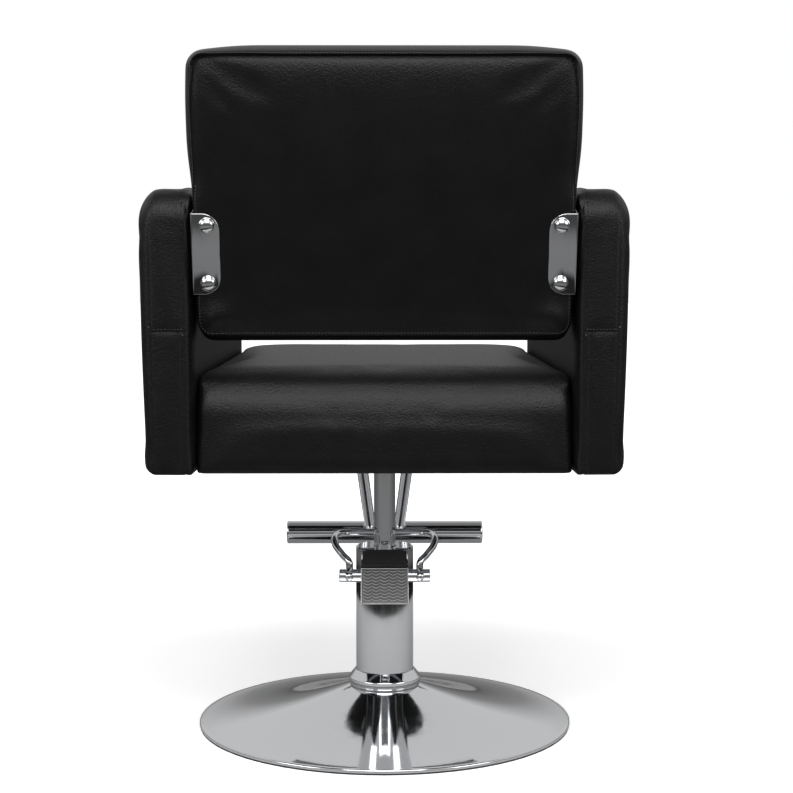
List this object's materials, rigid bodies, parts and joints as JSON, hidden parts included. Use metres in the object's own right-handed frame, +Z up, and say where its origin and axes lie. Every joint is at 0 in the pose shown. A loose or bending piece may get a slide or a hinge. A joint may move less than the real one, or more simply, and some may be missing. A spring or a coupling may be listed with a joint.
{
  "type": "hairdressing chair",
  "caption": "Black upholstered hairdressing chair with boxy padded arms and a reclined back, on a round chrome hydraulic pump base with a footrest bar.",
  "frame": {"origin": "centre of the base on the floor, on the column's axis", "axes": "+Z up, the chair faces -Y, +X to the sitter's left"},
  "size_m": [0.6242, 0.6785, 0.9322],
  "materials": {
    "chrome": "polished chrome plate",
    "steel": "plain machined",
    "iron": "dark cast",
    "brass": "machined",
    "rubber": "matt moulded",
    "plywood": "unfinished plywood",
    "leatherette": "black grained leatherette over foam",
    "tread": "embossed pattern"
  },
  "bodies": {
    "base": {"base_plate": "iron", "floor_ring": "rubber", "base_dome": "chrome", "base_collar": "chrome", "pump_cover": "chrome", "pump_top_cap": "chrome", "pump_body": "iron", "lift_cylinder": "steel", "rod_guide": "brass", "rod_wiper": "rubber", "valve_ball": "steel", "pump_bolt_1": "steel", "pump_bolt_2": "steel", "pump_bolt_3": "steel", "pump_bolt_4": "steel"},
    "lift": {"lift_piston": "steel", "piston_seal": "rubber", "thrust_washer": "brass"},
    "chair": {"piston_rod": "chrome", "swivel_hub": "steel", "seat_plate": "steel", "seat_plate_bolt_1": "steel", "seat_plate_bolt_2": "steel", "seat_plate_bolt_3": "steel", "seat_plate_bolt_4": "steel", "seat_board": "plywood", "seat_cushion": "leatherette", "cross_strap_front": "steel", "cross_strap_rear": "steel", "arm_board_left": "plywood", "arm_board_right": "plywood", "arm_pad_left": "leatherette", "arm_pad_right": "leatherette", "arm_bolt_left_front": "steel", "arm_bolt_left_rear": "steel", "arm_bolt_right_front": "steel", "arm_bolt_right_rear": "steel", "backrest_board": "plywood", "backrest_cushion": "leatherette", "bracket_left": "chrome", "bracket_right": "chrome", "bracket_bolt_left_lower": "chrome", "bracket_bolt_left_upper": "chrome", "bracket_bolt_right_lower": "chrome", "bracket_bolt_right_upper": "chrome", "footrest_plate": "steel", "footrest_strut_left": "chrome", "footrest_strut_right": "chrome", "footrest_bar": "chrome", "footrest_plug_left": "chrome", "footrest_plug_right": "chrome"},
    "pedal": {"pump_pedal": "chrome", "pedal_tread": "tread", "pedal_grip": "rubber"},
    "plunger": {"pump_plunger": "steel"},
    "brake": {"cross_pin": "chrome", "brake_loop": "chrome", "clamp_screw_left": "chrome", "clamp_screw_right": "chrome"},
    "shoe": {"brake_shoe": "steel"}
  },
  "joints": [
    {"name": "seat_lift", "type": "slide", "parent": "base", "child": "lift", "axis": [0, 0, 1], "range_m": [-0.075, 0.055]},
    {"name": "seat_swivel", "type": "hinge", "parent": "lift", "child": "chair", "pos_m": [0, 0, 0.121], "axis": [0, 0, 1], "continuous": true},
    {"name": "pedal_press", "type": "hinge", "parent": "base", "child": "pedal", "pos_m": [0, 0.058, 0.2225], "axis": [-1, 0, 0], "range_deg": [0, 18], "stiffness_Nm_per_rad": 3, "springref_deg": -11.46},
    {"name": "plunger_stroke", "type": "slide", "parent": "base", "child": "plunger", "axis": [0, 0, 1], "range_m": [0, 0.0119]},
    {"name": "brake_turn", "type": "hinge", "parent": "base", "child": "brake", "pos_m": [0, 0.058, 0.2225], "axis": [-1, 0, 0], "range_deg": [-4, 6]},
    {"name": "shoe_press", "type": "slide", "parent": "base", "child": "shoe", "axis": [0, -1, 0], "range_m": [-0.0005, 0.0004]}
  ],
  "couplings": [
    {"joint": "plunger_stroke", "follows": "pedal_press", "m_per_rad": 0.0375},
    {"joint": "shoe_press", "follows": "brake_turn", "m_per_rad": -0.004}
  ]
}
